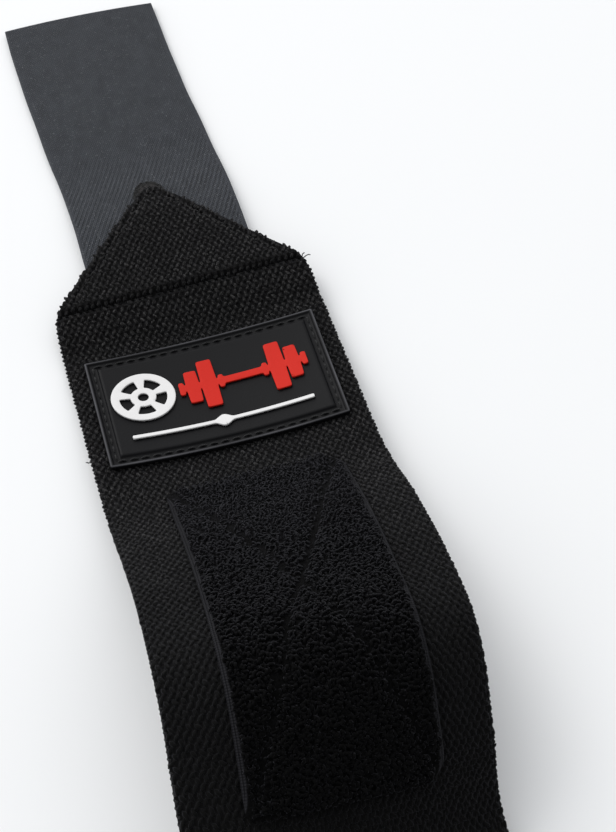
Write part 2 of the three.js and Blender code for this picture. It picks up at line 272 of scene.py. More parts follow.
def cloth_object(name, points, faces, local=None):
    """One mesh from points in the wrap's millimetres and arrays of faces, smooth, with the place on
    the cloth kept as the attribute cloth."""
    mesh = bpy.data.meshes.new(name)
    corners = [face for part in faces for face in part.tolist()]
    mesh.from_pydata(((points + to_frame) / 1000).tolist(), [], corners)
    mesh.polygons.foreach_set("use_smooth", np.ones(len(mesh.polygons), bool))
    if local is not None:
        on_cloth = mesh.attributes.new("cloth", "FLOAT_VECTOR", "POINT")
        on_cloth.data.foreach_set("vector", local.ravel().astype(np.float32))
    piece = bpy.data.objects.new(name, mesh)
    bpy.context.scene.collection.objects.link(piece)
    return piece


class Value:
    """A node's output socket. Arithmetic on it adds Math nodes."""

    def __init__(self, finish, socket):
        self.finish, self.socket = finish, socket

    def math(self, operation, *others):
        sockets = dict(enumerate((self, *others)))
        return self.finish.node("ShaderNodeMath", {"operation": operation}, sockets)

    def wave(self, length):
        """A cosine of that wavelength."""
        return (self * (2 * np.pi / length)).math("COSINE")

    def odd(self):
        """1 where a whole number is odd, and 0 where it is even."""
        return self - (self * 0.5).math("FLOOR") * 2

    def __add__(self, other):
        return self.math("ADD", other)

    def __sub__(self, other):
        return self.math("SUBTRACT", other)

    def __mul__(self, other):
        return self.math("MULTIPLY", other)

    def __truediv__(self, other):
        return self.math("DIVIDE", other)

    def __rsub__(self, other):
        return self.finish.node("ShaderNodeMath", {"operation": "SUBTRACT"}, {0: other, 1: self})

    __radd__ = __add__
    __rmul__ = __mul__


class Finish:
    """The node tree of a material, or of the room round the wrap, built one node at a time."""

    def __init__(self, name, kind="materials"):
        self.owner = getattr(bpy.data, kind).new(name)
        self.owner.use_nodes = True
        self.tree = self.owner.node_tree
        self.tree.nodes.clear()

    def node(self, kind, settings=None, sockets=None, output=0):
        node = self.tree.nodes.new(kind)
        for key, value in (settings or {}).items():
            setattr(node, key, value)
        for key, value in (sockets or {}).items():
            if isinstance(value, Value):
                self.tree.links.new(value.socket, node.inputs[key])
            else:
                node.inputs[key].default_value = value
        return Value(self, node.outputs[output]) if node.outputs else None

    def attribute(self, name):
        """An attribute's three numbers as separate values."""
        vector = self.node("ShaderNodeAttribute", {"attribute_name": name}, output="Vector")
        return [self.node("ShaderNodeSeparateXYZ", None, {0: vector}, k) for k in range(3)]

    def place(self):
        """The point's object coordinates."""
        return self.node("ShaderNodeTexCoord", output="Object")

    def point(self, x, y, z=0.0):
        return self.node("ShaderNodeCombineXYZ", None, {0: x, 1: y, 2: z})

    def noise(self, vector, scale, detail=2.0, roughness=0.5):
        settings = {"Vector": vector, "Scale": scale, "Detail": detail, "Roughness": roughness}
        return self.node("ShaderNodeTexNoise", None, settings)

    def ramp(self, value, start, end, low=0.0, high=1.0):
        """From low at start to high at end, smoothly, and level past both."""
        sockets = {"Value": value, "From Min": start, "From Max": end, "To Min": low, "To Max": high}
        return self.node("ShaderNodeMapRange", {"interpolation_type": "SMOOTHSTEP"}, sockets)

    def blend(self, share, first, second):
        """One colour into another by a share."""
        return self.node("ShaderNodeMix", {"data_type": "RGBA"}, {0: share, 6: first, 7: second}, 2)

    def done(self, colour, roughness, height, depth, fixed):
        """The surface: colour, roughness, relief of that depth in metres, and its fixed values."""
        bump = self.node("ShaderNodeBump", None, {"Distance": depth, "Height": height})
        sockets = {"Base Color": colour, "Roughness": roughness, "Normal": bump, **fixed}
        surface = self.node("ShaderNodeBsdfPrincipled", None, sockets)
        self.node("ShaderNodeOutputMaterial", None, {"Surface": surface})
        return self.owner


def shade(red, green, blue):
    """A colour from its 0 to 255 screen values, made linear."""
    screen = np.array([red, green, blue]) / 255
    return (*np.where(screen > 0.04, ((screen + 0.055) / 1.055) ** 2.4, screen / 12.92).tolist(), 1.0)


def nap(sheen, rough, gloss, tint):
    """The fixed values of a soft nap: its sheen, how rough and of what tint, and its gloss."""
    return {"Sheen Weight": sheen, "Sheen Roughness": rough, "Sheen Tint": tint, "Specular IOR Level": gloss}


knit_column = 1.888
knit_row = 1.512
cool_sheen = shade(150, 152, 165)


def knit_finish(name, dark, light, relief):
    """Near-black knit: staggered pits 1.9 mm apart across and 1.5 mm along, each darkened with painted
    shade, short strands that lean the other way in every second row, and a fine fuzz."""
    knit = Finish(name)
    side, place, inside = knit.attribute("cloth")
    flat = knit.point(side, place, inside)
    waver = knit.noise(flat, 0.35, 3.0) - 0.5
    row_place = place / knit_row + waver * 0.5
    row = row_place.math("ROUND")
    odd = row.odd()
    column_place = side / knit_column + odd * 0.5 + waver * 0.35
    column = column_place.math("ROUND")
    off_column, off_row = column_place - column, row_place - row
    spot = knit.noise(knit.point(column, row), 3.7, 0.0)
    reach = (off_column / 0.2).math("POWER", 2) + (off_row / 0.45).math("POWER", 2)
    # Painted shade: each pit is darkened in the colour as well as sunk in the relief.
    pit_depth_and_shade = knit.ramp(reach + (spot - 0.5) * 1.6, 0.3, 1.8, 1.0, 0.0)
    lean = odd * 2 - 1
    strand = knit.noise(knit.point(side * 3.6 + lean * place * 1.3, place * 0.9, inside), 1.0, 3.0, 0.6)
    fuzz = knit.noise(flat, 5.5, 4.0, 0.7)
    patchy = knit.noise(flat, 0.12, 3.0)
    speck = knit.ramp(knit.noise(flat, 1.9, 2.0), 0.71, 0.78)
    bright = knit.ramp(strand, 0.38, 0.68) * (1 - pit_depth_and_shade) * knit.ramp(patchy, 0.3, 0.7, 0.65, 1.1)
    colour = knit.blend(bright * 0.8 + fuzz * 0.2 + speck * 0.3, dark, light)
    height = (1 - pit_depth_and_shade) * 0.7 + strand * 0.35 + fuzz * 0.15
    return knit.done(colour, 0.95 - fuzz * 0.1, height, relief, nap(0.08, 0.4, 0.1, cool_sheen))


black_knit = knit_finish("black_knit", shade(1, 1, 1), shade(32, 31, 32), 0.0005)
band = cloth_object("band_cloth", band_points, band_faces, band_local)
band.data.materials.append(black_knit)
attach(band, "root")
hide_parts("elastic_band")

# Yarn floats of the knit: one plump slanting float between each two pits of a row, over the whole upper
# face where no label or patch covers it, so that the pits between them are real.
float_sides = 6
float_rise = 0.34
float_slant = 0.5
float_half_lengths = (1.05, 1.35)
float_half_widths = (0.5, 0.68)
float_from_edge = 0.45


def band_top(place, side):
    """Height of the band's upper face, the round of its rim included."""
    half = band_half_width(place)
    inside = np.minimum(half - abs(side), np.minimum(place + point_length, band_length - place))
    low, high = band_under(place), band_over(place, inside)
    full = np.sqrt(1 - (1 - np.clip(inside / band_rim, 0, 1)) ** 2)
    return (low + high) / 2 + (high - low) / 2 * full


def within(place, side, covered):
    """True inside a rectangle given as first and last place and side."""
    return (place > covered[0]) & (place < covered[1]) & (side > covered[2]) & (side < covered[3])


def turned_from(place, side, heading, out, aside):
    """The point that lies out along a heading from a place and side, and aside to the left of it."""
    cos, sin = np.cos(heading), np.sin(heading)
    return place + out * cos - aside * sin, side + out * sin + aside * cos


def knit_floats(covered):
    """Closed low domes on the knit's lattice: an apex, two six-sided rings and a base, each stretched
    along a direction that leans the other way in every second row."""
    lattice_rows = np.arange(-round(point_length / knit_row), round(band_length / knit_row) + 1)
    half_columns = round(band_width / 2 / knit_column) + 1
    row, column = np.meshgrid(lattice_rows, np.arange(-half_columns, half_columns + 1), indexing="ij")
    place = knit_row * (row + 0.0).ravel()
    side = (knit_column * (column + 0.5 - 0.5 * (row % 2))).ravel()
    odd = (row % 2).ravel()
    chance = np.random.default_rng(2)
    place = place + chance.normal(0, 0.11, place.shape)
    side = side + chance.normal(0, 0.1, side.shape)
    from_end = np.minimum(place + point_length, band_length - place)
    inside = np.minimum(band_half_width(place) - abs(side), from_end)
    kept = (inside > float_from_edge) & (abs(place - seam_place) > 0.5)
    for rectangle in covered:
        kept &= ~within(place, side, rectangle)
    place, side, odd = place[kept], side[kept], odd[kept]
    count = len(place)
    slant = (2 * odd - 1) * float_slant + chance.normal(0, 0.2, count)
    long = chance.uniform(*float_half_lengths, count)
    wide = chance.uniform(*float_half_widths, count)
    rise = float_rise * chance.uniform(0.85, 1.15, count)
    angle = np.linspace(0, 2 * np.pi, float_sides, endpoint=False)
    spread_of = np.concatenate([[0], np.repeat([0.62, 1.0], float_sides)])
    height_of = np.concatenate([[1], np.repeat([0.86, -0.4], float_sides)])
    around = np.concatenate([[0], angle, angle])
    along = long[:, None] * spread_of * np.cos(around)
    across = wide[:, None] * spread_of * np.sin(around)
    at = turned_from(place[:, None], side[:, None], slant[:, None], along, across)
    points = on_wrap(*at, band_top(place, side)[:, None] + rise[:, None] * height_of)
    k = np.arange(float_sides)
    after = (k + 1) % float_sides
    fan = np.stack([0 * k, 1 + k, 1 + after], 1)
    wall = np.stack([1 + k, 1 + float_sides + k, 1 + float_sides + after, 1 + after], 1)
    base = (1 + float_sides + k)[None, ::-1]
    start = np.arange(count)[:, None, None] * (1 + 2 * float_sides)
    faces = [(start + part).reshape(-1, part.shape[1]) for part in (fan, wall, base)]
    number = np.repeat(chance.uniform(1, 9, (count, 1)), points.shape[1], 1)
    return points.reshape(-1, 3), faces, np.stack([at[1], at[0], number], -1).reshape(-1, 3)


def float_finish():
    """Dull black yarn: fibres along each float, grain and specks, and a shade of its own for every
    float; painted shade makes it darker down the far side of the hump and in the seam's crease."""
    yarn = Finish("black_yarn")
    side, place, chance = yarn.attribute("cloth")
    lean = (place / knit_row).math("ROUND").odd() * 2 - 1
    fibre = yarn.noise(yarn.point(side * 4.5 - lean * place * 2.0, place * 1.1, chance), 1.0, 3.0, 0.6)
    fuzz = yarn.noise(yarn.point(side, place, chance), 6.0, 4.0, 0.7)
    grain = yarn.ramp(yarn.noise(yarn.point(side, place, chance), 2.1, 2.0), 0.42, 0.6, 0.3, 1.25)
    patchy = yarn.noise(yarn.point(side, place), 0.12, 3.0)
    tone = yarn.ramp(fibre, 0.4, 0.64) * yarn.ramp(patchy, 0.3, 0.7, 0.7, 1.1) * 0.8 + fuzz * 0.15
    speck = yarn.ramp(fuzz, 0.6, 0.72) * 0.8
    # Painted shade: the floats darken from place 60 to 175, down the hump's slope.
    painted_slope_shade = yarn.ramp(place, 60.0, 175.0, 1.0, 0.0)
    # Painted shade: the floats are darkened within a few millimetres of the seam's crease.
    painted_crease_shade = yarn.ramp((place - seam_place + 0.8).math("ABSOLUTE"), 0.4, 2.6, 0.5, 1.0)
    light = (tone + speck) * grain * (chance * 0.06 + 0.68) * painted_slope_shade * painted_crease_shade
    colour = yarn.blend(light, shade(1, 1, 1), shade(64, 63, 63))
    fixed = nap(0.15, 0.3, 0.15, cool_sheen)
    return yarn.done(colour, 0.95 - fuzz * 0.15, fibre + fuzz * 0.6, 0.00022, fixed)


# First and last place, then first and last side, of the two stretches that label and patch cover
label_cover = (20.5, 57.5, -31.5, 31.5)
patch_cover = (75, 182, -21.5, 23)
floats = cloth_object("band_yarn_floats", *knit_floats([label_cover, patch_cover]))
floats.data.materials.append(float_finish())
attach(floats, "root")

# Turned-in end: under the point the band's own end is folded back, and its rounded edge shows a little
# beyond the tip.
fold_reach = 5
fold_half_width = 4.9
fold_wall = 2
fold_rim = 0.8
fold_across = -0.2
fold_places = -point_length - fold_reach + np.concatenate([[0, 0.1, 0.3, 0.6], steps(1, 8, 0.5), [8.2]])


def fold_half(place):
    """Half width of the turned-in end: a quarter ellipse from its edge to its full width."""
    share = np.clip((place + point_length + fold_reach) / (fold_reach + 1), 0, 1)
    return fold_half_width * np.sqrt(1 - (1 - share) ** 2)


def fold_over(place, inside, side):
    """Top of the turned-in end: its wall, with the knit's bumps as two crossing waves."""
    return strap_top + fold_wall + 0.22 * np.sin(side * 3.4) * np.sin(place * 4.2)


fold_points, fold_faces, fold_local = slab(
    fold_places, fold_half, [0, 0.1, 0.3, 0.6], 24, strap_top + 0.05, fold_over, fold_rim, fold_across,
)
fold = cloth_object("turned_in_end", fold_points, fold_faces, fold_local)
fold_cloth = Finish("fold_with_edge_shade")
fold_side, fold_place, fold_inside = fold_cloth.attribute("cloth")
fold_grain = fold_cloth.noise(fold_cloth.point(fold_side, fold_place, fold_inside), 2.6, 4.0, 0.7)
# Painted shade: the turned-in end is dark towards its rounded edge, and its grain shows lighter inside.
fold_grain_and_edge_shade = fold_cloth.ramp(fold_inside, 1.1, 2.5) * fold_cloth.ramp(fold_grain, 0.35, 0.62)
fold.data.materials.append(fold_cloth.done(
    fold_cloth.blend(fold_grain_and_edge_shade, shade(9, 9, 11), shade(58, 55, 55)), fold_grain * 0.1 + 0.85, fold_grain,
    0.0008, {"Sheen Weight": 0.1, "Specular IOR Level": 0.1},
))
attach(fold, "root")

# Sewing of the band: black thread locked through the folded edges of the point, across the seam and
# along the hem, the loops of the knit's own edges, and a few loose ends.
def threads(name, paths, radius, sides=4, standing=False):
    """Tubes along many short paths at once, given as (threads, points, place side height). Each ring
    stands on the path's direction at its point, with a first axis square to it and to a reference:
    the up direction, or for standing loops the across one. Both ends are closed and thinner."""
    place, side, height = paths[..., 0], paths[..., 1], paths[..., 2]
    points = on_wrap(place, side, height)
    along = np.gradient(points, axis=1)
    along /= np.linalg.norm(along, axis=2, keepdims=True) + 1e-9
    chord = points[:, -1] - points[:, 0]
    up = on_wrap(place, side, height + 1) - points
    reference = np.cross(chord, up[:, 0])[:, None, :] if standing else up
    first = np.cross(along, reference)
    first /= np.linalg.norm(first, axis=2, keepdims=True) + 1e-9
    second = np.cross(along, first)
    angle = np.linspace(0, 2 * np.pi, sides, endpoint=False)
    count = points.shape[1]
    thin = np.ones(count)
    thin[[0, -1]] = 0.55
    ring = first[:, :, None] * np.cos(angle)[:, None] + second[:, :, None] * np.sin(angle)[:, None]
    radius = np.broadcast_to(radius, (len(points),))[:, None, None, None]
    tube = points[:, :, None] + ring * thin[None, :, None, None] * radius
    number = np.arange(len(points) * count * sides).reshape(len(points), count, sides)
    after = np.roll(number, -1, 2)
    walls = np.stack([number[:, :-1], after[:, :-1], after[:, 1:], number[:, 1:]], -1).reshape(-1, 4)
    ends = [number[:, 0, ::-1], number[:, -1]]
    chance = np.random.default_rng(len(points)).random(len(points))
    local = np.stack([side, place, np.broadcast_to(chance[:, None], side.shape)], -1)
    return cloth_object(name, tube.reshape(-1, 3), [walls, *ends], np.repeat(local, sides, 1).reshape(-1, 3))


def thread_finish(name, dark, light):
    """Twisted thread: slanting plies along it and a different shade for each stitch."""
    thread = Finish(name)
    side, place, chance = thread.attribute("cloth")
    ply = ((side + place * 1.3) * 14.0).math("SINE")
    fibre = thread.noise(thread.point(side, place, chance), 9.0, 3.0)
    colour = thread.blend(thread.ramp(ply * 0.4 + fibre + chance * 0.4, 0.2, 1.4), dark, light)
    fixed = {"Sheen Weight": 0.1, "Specular IOR Level": 0.2}
    return thread.done(colour, 0.75 - fibre * 0.2, ply * 0.5 + fibre, 0.0001, fixed)


def stitch_row(place, side, top, length, stitch, thread, rise=1.0):
    """Short stitches along a row of that length: from each hole up over the cloth and down into the
    next, as an arc of the thread's thickness. place, side and top are functions of the run in mm."""
    start = np.arange(0, length - stitch, stitch)[:, None]
    share = np.linspace(0, 1, 6)[None]
    run = start + (0.06 + 0.88 * share) * stitch
    arch = np.sin(np.pi * share) * rise - 0.45
    return np.stack([place(run), side(run), top(run) + arch * thread], -1)


thread_width = 0.42
slant_row, slant_stitch, slant_share_along = 42, 3.1, 0.72
seam_half_row, hem_half_row, straight_stitch = 35, 36, 3.0
edge_yarn_radius = 0.34
loose_thread_radius = 0.16


def slant_stitches(way):
    """The row inside one folded edge of the point, from near the apex to near the shoulder."""
    at = lambda run: -point_length + fold_stitch_inset + 2.4 + run * slant_share_along
    across = lambda run: way * np.maximum(band_half_width(at(run)) - fold_stitch_inset, 0.2)
    top = lambda run: band_over(at(run), fold_stitch_inset + 0 * run)
    return stitch_row(at, across, top, slant_row, slant_stitch, thread_width)


flat_run = lambda level: lambda run: level + 0 * run
seam_stitches = stitch_row(
    lambda run: seam_place + 0.15 * np.sin(run * 1.7), lambda run: run - seam_half_row,
    lambda run: band_over(seam_place + 0 * run, 10) - 0.1, 2 * seam_half_row + 0.5, straight_stitch,
    thread_width,
)
hem_row = hem_start + hem_stitch_inset
hem_stitches = stitch_row(
    flat_run(hem_row), lambda run: run - hem_half_row, lambda run: band_over(hem_row + 0 * run, 10),
    2 * hem_half_row + 0.5, straight_stitch, thread_width,
)
black_thread = thread_finish("black_thread", shade(3, 3, 3), shade(24, 24, 27))
sewing = threads(
    "band_sewing", np.concatenate([slant_stitches(-1), slant_stitches(1), seam_stitches, hem_stitches]),
    thread_width / 2, 5,
)


def edge_loops(way):
    """Loops of yarn round the band's woven edge, each from just inside the top, out past the edge and
    back under it, a little askew."""
    at = steps(seam_place - 2, band_length - 3, knit_row)
    chance = np.random.default_rng(5 + way)
    turn = np.linspace(-0.45 * np.pi, 0.45 * np.pi, 7)[None]
    reach = chance.uniform(0.1, 0.4, (len(at), 1)) * (1 - 0.75 * smooth_step(at, 70, 120))[:, None]
    thick = (band_over(at, 20) - band_under(at))[:, None]
    level = band_under(at)[:, None] + thick * 0.5
    side = way * (band_half_width(at)[:, None] - 0.75 + (0.55 + reach) * np.cos(turn))
    place = at[:, None] + 0.3 * np.sin(turn) + chance.normal(0, 0.14, (len(at), 1))
    return np.stack([place, side, level + thick * 0.36 * np.sin(turn)], -1)


edge_yarn = threads("band_edge_loops", np.concatenate([edge_loops(-1), edge_loops(1)]), edge_yarn_radius, 5)


def loose_end(place, side, height, heading, long, rise, seed):
    """One loose thread end: a short wandering curve that leaves the edge and droops."""
    chance = np.random.default_rng(seed).normal(0, 0.18, (3, 9)).cumsum(1)
    share = np.linspace(0, 1, 9)
    out = long * share
    arch = rise * np.sin(np.pi * share * 0.8)
    return np.stack([
        place + out * np.cos(heading) + chance[0] * share, side + out * np.sin(heading) + chance[1] * share,
        height + arch + chance[2] * share * 0.3,
    ], -1)


ends = np.stack([
    loose_end(0.2, 36.2, 3.6, 1.9, 2.6, 0.5, 1),
    loose_end(-0.6, 36.0, 3.4, 2.3, 1.8, 0.4, 2),
    loose_end(54.0, -37.0, 1.2, -1.2, 2.2, 0.4, 3),
    loose_end(-38.0, -0.5, 4.4, -2.5, 3.0, 1.4, 6),
])
loose = threads("loose_thread_ends", ends, loose_thread_radius, 5)
for piece in (sewing, edge_yarn, loose):
    piece.data.materials.append(black_thread)
    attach(piece, "root")

# Hook strap: a 49 mm hook tape sewn under the point. Its smooth woven back lies up, finely ribbed
# lengthwise between two selvages; the hooks below stand on the floor.
strap_width = 49
hook_height = 0.8
hook_radius = 0.1
hook_gap_along = 2.0
hook_gap_across = 1.5
outer_hooks = 19.5
tape_rim = 0.4
strap_end = seam_place + strap_past_seam
strap_margins = [0, 0.05, 0.15, 0.4, 0.8, 1.3, 1.8, 2.6]
strap_places = end_to_end(-strap_length, strap_end, strap_margins[:5], 1.6, 2, 1.2)


def strap_half_width(place):
    """Half width of the tape, whose edges waver by a tenth of a millimetre in two crossing waves."""
    return strap_width / 2 + 0.12 * np.sin(place * 0.21) * np.cos(place * 0.047)


strap_points, strap_faces, strap_local = slab(
    strap_places, strap_half_width, strap_margins, 40, hook_height,
    lambda place, inside, side: strap_top - 0.05 * dent(inside - 1.3, 0.3), tape_rim, bow=1.0,
)
strap = cloth_object("strap_tape", strap_points, strap_faces, strap_local)


def strap_tape_finish():
    """Charcoal satin tape: fine lengthwise ribs of small bumps between plain selvages, slanting cords
    that fade towards its tip, and lint."""
    tape = Finish("charcoal_tape")
    rib_gap, bump_gap, cord_gap = 0.58, 0.74, 1.5
    side, place, inside = tape.attribute("cloth")
    flat = tape.point(side, place, inside)
    selvage = tape.ramp(inside, 0.7, 1.4, 1.0, 0.0)
    waver = tape.noise(flat, 0.3, 2.0) - 0.5
    rib = (side + waver * 0.12).wave(rib_gap)
    column = (side / rib_gap).math("ROUND")
    bump = (place * (2 * np.pi / bump_gap) + column * 2.4).math("COSINE")
    worked = tape.ramp(place, -75.0, -38.0) * tape.ramp(tape.noise(flat, 0.09, 1.0), 0.35, 0.65, 0.7, 1.4)
    cord = (side + place * 0.5 + waver * 0.6).wave(cord_gap) * worked
    relief = (rib * 0.22 + bump * 0.25 + cord * 0.4 + 0.5) * (1 - selvage) + selvage * (0.72 + bump * 0.06)
    mottle = tape.noise(flat, 0.22, 4.0, 0.6)
    fine = tape.noise(flat, 6.0, 3.0)
    lint = tape.ramp(tape.noise(flat, 1.9, 1.0), 0.66, 0.71)
    lightness = tape.ramp(relief * 0.5 + mottle * 0.55 + fine * 0.45, 0.25, 1.25)
    body = tape.blend(lightness, shade(33, 35, 39), shade(63, 66, 72))
    colour = tape.blend(lint * 0.6, tape.blend(selvage * 0.4, body, shade(44, 46, 51)), shade(120, 122, 126))
    fixed = {"Sheen Weight": 0.05, "Sheen Roughness": 0.4, "Specular IOR Level": 0.12}
    return tape.done(colour, 0.62 - mottle * 0.1, relief + fine * 0.1 + lint * 0.5, 0.00022, fixed)


strap.data.materials.append(strap_tape_finish())
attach(strap, "root")
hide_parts("hook_strap")


def strap_hooks():
    """Hooks under the tape in staggered rows: each a short post down to the floor whose tip curls
    over along the tape, every second row the other way."""
    along = steps(3 - strap_length, strap_end - 6, hook_gap_along)
    over = np.arange(-outer_hooks, outer_hooks + 0.1, hook_gap_across)
    place, side = np.meshgrid(along, over, indexing="ij")
    way = np.where(np.arange(len(along)) % 2, 1.0, -1.0)[:, None] + 0 * side
    side = side + 0.35 * way
    chance = np.random.default_rng(11).normal(0, 0.12, (2, *place.shape))
    curl = np.array([0, 0, 0.08, 0.3, 0.52, 0.55])[None]
    drop = np.array([0.95, 0.5, 0.2, 0.1, 0.2, 0.42])[None]
    path_place = (place + chance[0]).ravel()[:, None] + way.ravel()[:, None] * curl
    path_side = (side + chance[1]).ravel()[:, None] + 0 * curl
    return np.stack([path_place, path_side, drop + 0 * path_place], -1)


hooks = threads("strap_hooks", strap_hooks(), hook_radius, 4, standing=True)
hook_plastic = Finish("hook_plastic")
hook_chance = hook_plastic.attribute("cloth")[2]
hooks.data.materials.append(hook_plastic.done(
    hook_plastic.blend(hook_chance, shade(34, 35, 38), shade(70, 72, 76)), hook_chance * 0.2 + 0.3,
    hook_plastic.noise(hook_plastic.place(), 4000.0), 0.00003, {"Specular IOR Level": 0.5},
))
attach(hooks, "root")

# Rubber label: a soft moulded plate with a thin raised rim, a sunken channel where it is sewn on, and a
# raised field for the motif.
label_width = 65.5
label_length = 40.8
label_start = seam_place + 18.2
label_lean = np.radians(0.9)
label_corner = 0.6
label_base = 0.8
label_rim_width = 0.9
label_rim_height = 0.5
label_channel = 2.3
label_field = 0.7
label_edge = 0.3
label_stitch = 3
label_thread_width = 0.5
label_thread_radius = 0.26
on_band = band_wall + clearance
label_end = label_start + label_length
label_middle = (label_start + label_end) / 2
channel_end = label_rim_width + label_channel


def rounded_half_width(start, end, width, corner):
    """Half width of a rectangle whose corners are quarter circles."""
    def at(place):
        from_corner = np.clip(corner - np.minimum(place - start, end - place), 0, corner)
        return width / 2 - corner + np.sqrt(corner**2 - from_corner**2)
    return at


def label_over(place, inside, side):
    """Top of the label: base, rim and field heights joined by soft steps."""
    rim = label_rim_height * (1 - smooth_step(inside, label_rim_width - 0.15, label_rim_width + 0.4))
    field = label_field * smooth_step(inside, channel_end - 0.2, channel_end + 0.4)
    return on_band + label_base + rim + field


label_margins = [
    0, 0.04, 0.12, 0.25, 0.45, 0.7, 0.78, 0.9, 1.05, 1.2, 1.35, 1.8, 2.5, 2.95, 3.1, 3.25, 3.4, 3.6, 4.2,
]
label_places = end_to_end(label_start, label_end, label_margins, 5, 4.9, 0.8)
label_points, label_faces, label_local = slab(
    label_places, rounded_half_width(label_start, label_end, label_width, label_corner), label_margins, 60,
    on_band, label_over, label_edge, lean=label_lean,
)
label = cloth_object("label_rubber", label_points, label_faces, label_local)


def rubber_finish(name, low, high, roughness, crest_wear_and_highlight=None):
    """Moulded rubber: a fine grain, faint handling marks, a slightly uneven gloss, and where the piece
    has a rim, its crest made lighter, partly as wear and partly as a painted highlight."""
    rubber = Finish(name)
    spot = rubber.place()
    grain = rubber.noise(spot, 2600.0, 3.0)
    cloud = rubber.noise(spot, 60.0, 4.0)
    marks = rubber.ramp(rubber.noise(spot, 900.0, 2.0), 0.66, 0.74)
    colour = rubber.blend(cloud * 0.6 + grain * 0.3 + marks * 0.2, low, high)
    if crest_wear_and_highlight:
        inside = rubber.attribute("cloth")[2]
        # Painted highlight, partly wear: the rim's crest is lightened in the colour.
        crest = rubber.ramp(inside, 0.05, 0.2) * rubber.ramp(inside, 0.4, 0.75, 1.0, 0.0)
        colour = rubber.blend(crest * rubber.ramp(cloud, 0.3, 0.7, 0.4, 0.9), colour, crest_wear_and_highlight)
    gloss = cloud * 0.16 + (roughness - 0.08)
    return rubber.done(colour, gloss, grain + marks * 0.5, 0.00003, {"Specular IOR Level": 0.11})


rim_wear_and_highlight = shade(80, 80, 84)
black_rubber = rubber_finish("black_rubber", shade(5, 5, 6), shade(17, 17, 20), 0.48, rim_wear_and_highlight)
label.data.materials.append(black_rubber)
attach(label, "root")
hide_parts("label_plate")


def label_stitches():
    """One row of stitches round the middle of the label's channel, on its turned rectangle."""
    inset = label_rim_width + label_channel / 2
    half = np.array([label_length, label_width]) / 2 - inset
    sides = []
    for way in (-1, 1):
        sides.append((half[1] * 2, lambda run, way=way: (way * half[0] + 0 * run, run - half[1])))
        sides.append((half[0] * 2, lambda run, way=way: (run - half[0], way * half[1] + 0 * run)))
    rows_of = []
    for length, at in sides:
        place = lambda run, at=at: label_middle + at(run)[0] + label_lean * at(run)[1]
        side = lambda run, at=at: at(run)[1] - label_lean * at(run)[0]
        stitch = length / round(length / label_stitch)
        level = flat_run(on_band + label_base)
        rows_of.append(stitch_row(place, side, level, length + 0.01, stitch, label_thread_width, 1.1))
    return np.concatenate(rows_of)


label_sewing = threads("label_stitches", label_stitches(), label_thread_radius, 6)
label_sewing.data.materials.append(black_thread)
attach(label_sewing, "root")

# Motif on the label: a red barbell, a white weight plate and a white rule with a diamond, moulded in
# coloured rubber, raised over the field with softened edges and bent with the label.
motif_height = 0.6
motif_clearance = 0.2
motif_soft = 0.16
motif_base = on_band + label_base + label_field + motif_clearance


def eased(corners, radius, gap=0.8):
    """A closed outline with its corners eased: each corner becomes a short curve between points that
    lie the radius before and after it, and the straights get a point every gap."""
    corners = np.array(corners, float)
    before, after = np.roll(corners, 1, 0) - corners, np.roll(corners, -1, 0) - corners
    cut = [np.minimum(radius / np.linalg.norm(edge, axis=1), 0.45)[:, None] for edge in (before, after)]
    start, end = corners + before * cut[0], corners + after * cut[1]
    t = np.linspace(0, 1, 5)[None, :, None]
    curve = (1 - t) ** 2 * start[:, None] + 2 * t * (1 - t) * corners[:, None] + t**2 * end[:, None]
    outline = curve.reshape(-1, 2)
    closed = np.concatenate([outline, outline[:1]])
    run = np.concatenate([[0], np.cumsum(np.linalg.norm(np.diff(closed, axis=0), axis=1))])
    places = np.unique(np.concatenate([run[:-1], np.arange(0, run[-1], gap)]).round(4))
    return np.stack([np.interp(places, run, closed[:, k]) for k in (0, 1)], 1)


def inside_outlines(points, rings):
    """True where a line to the right of the point crosses the outlines an odd number of times."""
    start, end = np.concatenate(rings), np.concatenate([np.roll(ring, -1, 0) for ring in rings])
    across, up = points[:, None, 0], points[:, None, 1]
    spans = (start[:, 1] > up) != (end[:, 1] > up)
    rise = np.where(end[:, 1] == start[:, 1], 1, end[:, 1] - start[:, 1])
    crossing = start[:, 0] + (up - start[:, 1]) / rise * (end[:, 0] - start[:, 0])
    return (spans & (across < crossing)).sum(1) % 2 == 1


def next_on_ring(rings):
    """For every point of the outlines, one after another, the number of the next point on its own."""
    first = np.cumsum([0] + [len(ring) for ring in rings[:-1]])
    return np.concatenate([start + np.roll(np.arange(len(ring)), -1) for ring, start in zip(rings, first)])


def filled(rings, gap=1.2):
    """Fills outlines with Delaunay triangles over their points and a grid of inner points, so that the
    face can bend. Returns the inner points and the anticlockwise triangles."""
    outline = np.concatenate(rings)
    low, high = outline.min(0), outline.max(0)
    grid = np.stack(np.meshgrid(*(np.arange(low[k], high[k], gap) for k in (0, 1))), -1).reshape(-1, 2)
    apart = np.linalg.norm(grid[:, None] - outline[None], axis=2).min(1) > 0.4 * gap
    inner = grid[apart & inside_outlines(grid, rings)]
    sides = np.stack([np.arange(len(outline)), next_on_ring(rings)], 1)
    points = np.concatenate([outline, inner])
    made = delaunay_2d_cdt([Vector(p) for p in points.tolist()], sides.tolist(), [], 0, 1e-6)
    given = np.array([origin[0] for origin in made[3]])
    triangles = given[np.array(made[2])]
    corners = points[triangles]
    triangles = triangles[inside_outlines(corners.mean(1), rings)]
    edge = points[triangles][:, 1:] - points[triangles][:, :1]
    clockwise = edge[:, 0, 0] * edge[:, 1, 1] < edge[:, 0, 1] * edge[:, 1, 0]
    return inner, np.where(clockwise[:, None], triangles[:, ::-1], triangles)


